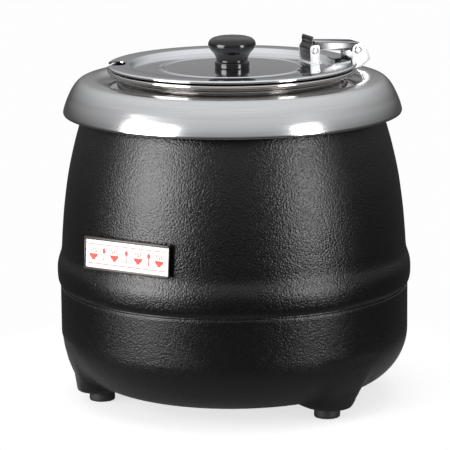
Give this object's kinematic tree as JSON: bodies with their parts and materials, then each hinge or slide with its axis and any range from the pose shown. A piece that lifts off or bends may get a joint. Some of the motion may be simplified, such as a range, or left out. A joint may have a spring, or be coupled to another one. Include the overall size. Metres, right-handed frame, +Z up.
{
  "type": "soup kettle",
  "caption": "Round black electric soup kettle with a satin steel top ring, a lift-out inner pot, a hinged steel lid with a ladle notch and a black knob.",
  "frame": {"origin": "on the kettle's vertical axis, at the plane the foot soles stand on", "axes": "+Z up; -Y is the front, with the menu label towards -X; +Y is the rear with the control panel"},
  "size_m": [0.34, 0.34, 0.3472],
  "materials": {
    "textured_black": "orange-peel textured black powder coat",
    "collar_steel": "satin stainless steel",
    "well_steel": "drawn stainless steel",
    "pot_steel": "polished stainless steel",
    "lid_steel": "mirror-polished stainless steel",
    "hinge_steel": "polished stainless steel strip",
    "zinc_fixings": "zinc plated",
    "heater_casting": "as cast",
    "copper_tube": "drawn tube",
    "black_phenolic": "moulded, semi-gloss",
    "black_moulding": "moulded",
    "white_moulding": "moulded",
    "lamp_lens": "translucent amber-red lens",
    "foot_rubber": "matt",
    "label_frame": "thin black enamel",
    "label_paper": "printed card"
  },
  "bodies": {
    "kettle": {"top_collar": "collar_steel", "collar_studs": "zinc_fixings", "collar_nuts": "zinc_fixings", "water_pan": "well_steel", "heating_element": "heater_casting", "heater_clamp_plate": "zinc_fixings", "centre_stud": "zinc_fixings", "heater_nut": "zinc_fixings", "thermal_cutout": "black_moulding", "base_plate": "zinc_fixings", "base_screws": "zinc_fixings", "base_nuts": "zinc_fixings", "base_centre_nut": "zinc_fixings", "terminal_block": "white_moulding", "rubber_feet": "foot_rubber", "foot_screws": "zinc_fixings", "foot_nuts": "zinc_fixings", "control_panel": "textured_black", "panel_screws": "zinc_fixings", "thermostat_body": "white_moulding", "thermostat_nut": "zinc_fixings", "indicator_lamp": "lamp_lens", "cord_gland": "black_moulding", "gland_nut": "black_moulding", "sensing_tube": "copper_tube", "label_holder": "label_frame", "label_bracket": "label_frame", "label_rivets": "zinc_fixings", "upper_shell": "textured_black", "lower_shell": "textured_black"},
    "dial": {"control_dial": "black_moulding", "thermostat_shaft": "zinc_fixings"},
    "pot": {"inset_pot": "pot_steel", "rim_bracket": "hinge_steel", "rim_bracket_rivets": "hinge_steel", "rear_hinge_pin": "hinge_steel"},
    "arm": {"hinge_arm": "hinge_steel", "front_hinge_pin": "hinge_steel"},
    "lid": {"lid": "lid_steel", "lid_bracket": "hinge_steel", "lid_clip_spring": "hinge_steel", "lid_bracket_rivets": "hinge_steel", "lid_knob": "black_phenolic", "knob_washer": "zinc_fixings", "knob_screw": "zinc_fixings"},
    "card": {"label_card": "label_paper"}
  },
  "joints": [
    {"name": "pot_lift", "type": "slide", "parent": "kettle", "child": "pot", "axis": [0, 0, 1], "range_m": [0, 0.3]},
    {"name": "arm_swing", "type": "hinge", "parent": "pot", "child": "arm", "pos_m": [0.11635, 0.04939, 0.3276], "axis": [-0.3907, 0.9205, 0], "range_deg": [0, 105]},
    {"name": "lid_pivot", "type": "hinge", "parent": "arm", "child": "lid", "pos_m": [0.07456, 0.03165, 0.3295], "axis": [-0.3907, 0.9205, 0], "range_deg": [-7.5, 0]},
    {"name": "dial_turn", "type": "hinge", "parent": "kettle", "child": "dial", "pos_m": [-0.028, 0.155, 0.062], "axis": [0, 1, 0], "range_deg": [0, 270]},
    {"name": "card_slide", "type": "slide", "parent": "kettle", "child": "card", "axis": [0.8526, -0.5225, 0], "range_m": [0, 0.1]}
  ],
  "couplings": [
    {"joint": "lid_pivot", "follows": "arm_swing", "ratio": -0.07}
  ]
}
